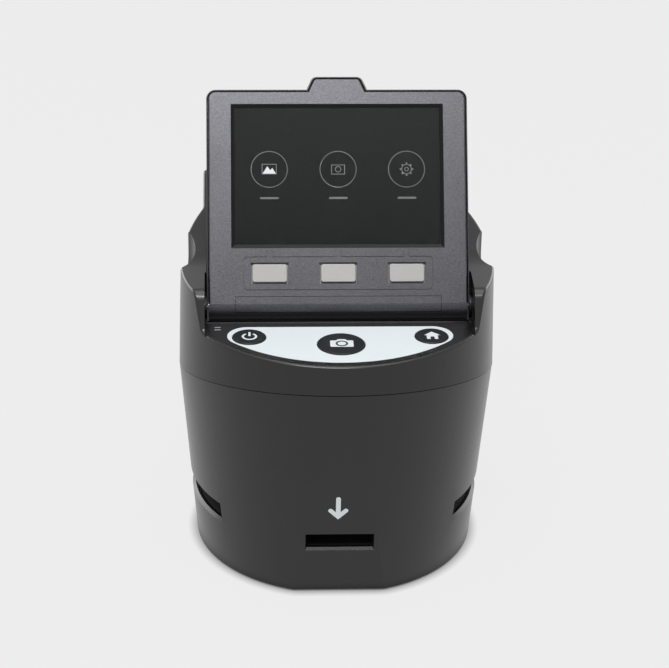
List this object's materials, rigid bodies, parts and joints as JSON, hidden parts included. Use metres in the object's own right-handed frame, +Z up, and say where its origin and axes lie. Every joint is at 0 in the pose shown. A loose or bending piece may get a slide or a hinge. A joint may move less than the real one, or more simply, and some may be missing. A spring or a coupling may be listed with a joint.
{
  "type": "film negative scanner",
  "caption": "Tabletop film negative scanner: round black body with side film slots, front slot, control panel and a tilting display lid with soft keys.",
  "frame": {"origin": "on the table under the axis of the round body, in the plane of the feet", "axes": "+X to the right seen from the front, +Y to the rear, +Z up; the pictured front faces -Y"},
  "size_m": [0.1158, 0.1202, 0.1714],
  "materials": {
    "casing": "satin black moulded plastic",
    "lid_plastic": "fine-grained dark grey plastic",
    "rubber": "matt black rubber",
    "steel": "plain steel",
    "white_panel": "smooth white plastic",
    "circuit_board": "green solder mask",
    "black_part": "matt black plastic",
    "light_lens": "clear moulded lens",
    "optical_glass": "polished optical glass",
    "display_glass": "dark display glass",
    "grey_key": "satin light grey plastic",
    "black_button": "smooth black plastic"
  },
  "bodies": {
    "base": {"lower_shell": "casing", "upper_shell": "casing", "base_plate": "casing", "rubber_feet": "rubber", "base_screws": "steel", "shell_screws": "steel", "board_screws": "steel", "button_board_screws": "steel", "panel_overlay": "white_panel", "button_board": "circuit_board", "button_switches": "black_part", "indicator_lights": "light_lens", "hinge_pin_left": "steel", "hinge_pin_right": "steel", "friction_washer_left": "black_part", "friction_washer_right": "black_part", "film_gate_lower": "black_part", "film_gate_upper": "black_part", "insert_guide": "black_part", "rail_screws": "steel", "detent_springs": "steel", "diffuser": "white_panel", "light_box": "white_panel", "led_board": "circuit_board", "backlight_leds": "light_lens", "board_pads": "black_part", "optical_tower": "black_part", "lens_barrel": "black_part", "front_lens": "optical_glass", "rear_lens": "optical_glass", "ir_filter": "optical_glass", "image_sensor": "black_part", "sensor_board": "circuit_board", "sensor_screws": "steel", "tower_screws": "steel", "main_board": "circuit_board", "usb_socket": "steel", "hdmi_socket": "steel", "card_socket": "steel", "processor_chip": "black_part", "memory_chips": "black_part"},
    "lid": {"lid_front_bezel": "lid_plastic", "lid_back_cover": "lid_plastic", "lid_hinge_cover": "lid_plastic", "lid_screws": "steel", "display_window": "display_glass", "display_panel": "display_glass", "display_backlight": "steel", "lid_board": "circuit_board", "key_switches": "black_part"},
    "soft_key_left": {"soft_key_left": "grey_key"},
    "soft_key_middle": {"soft_key_middle": "grey_key"},
    "soft_key_right": {"soft_key_right": "grey_key"},
    "capture_button": {"capture_button": "black_button"},
    "power_button": {"power_button": "black_button"},
    "home_button": {"home_button": "black_button"}
  },
  "joints": [
    {"name": "lid_hinge", "type": "hinge", "parent": "base", "child": "lid", "pos_m": [0, -0.0105, 0.0975], "axis": [1, 0, 0], "range_deg": [-39.2, 5.8]},
    {"name": "soft_key_left_press", "type": "slide", "parent": "lid", "child": "soft_key_left", "axis": [0, 0.859, -0.512], "range_m": [0, 0.0005], "stiffness_N_per_m": 1200, "springref_m": -0.0003},
    {"name": "soft_key_middle_press", "type": "slide", "parent": "lid", "child": "soft_key_middle", "axis": [0, 0.859, -0.512], "range_m": [0, 0.0005], "stiffness_N_per_m": 1200, "springref_m": -0.0003},
    {"name": "soft_key_right_press", "type": "slide", "parent": "lid", "child": "soft_key_right", "axis": [0, 0.859, -0.512], "range_m": [0, 0.0005], "stiffness_N_per_m": 1200, "springref_m": -0.0003},
    {"name": "capture_press", "type": "slide", "parent": "base", "child": "capture_button", "axis": [0, 0, -1], "range_m": [0, 0.0006], "stiffness_N_per_m": 1200, "springref_m": -0.0003},
    {"name": "power_press", "type": "slide", "parent": "base", "child": "power_button", "axis": [0, 0, -1], "range_m": [0, 0.0006], "stiffness_N_per_m": 1200, "springref_m": -0.0003},
    {"name": "home_press", "type": "slide", "parent": "base", "child": "home_button", "axis": [0, 0, -1], "range_m": [0, 0.0006], "stiffness_N_per_m": 1200, "springref_m": -0.0003}
  ]
}
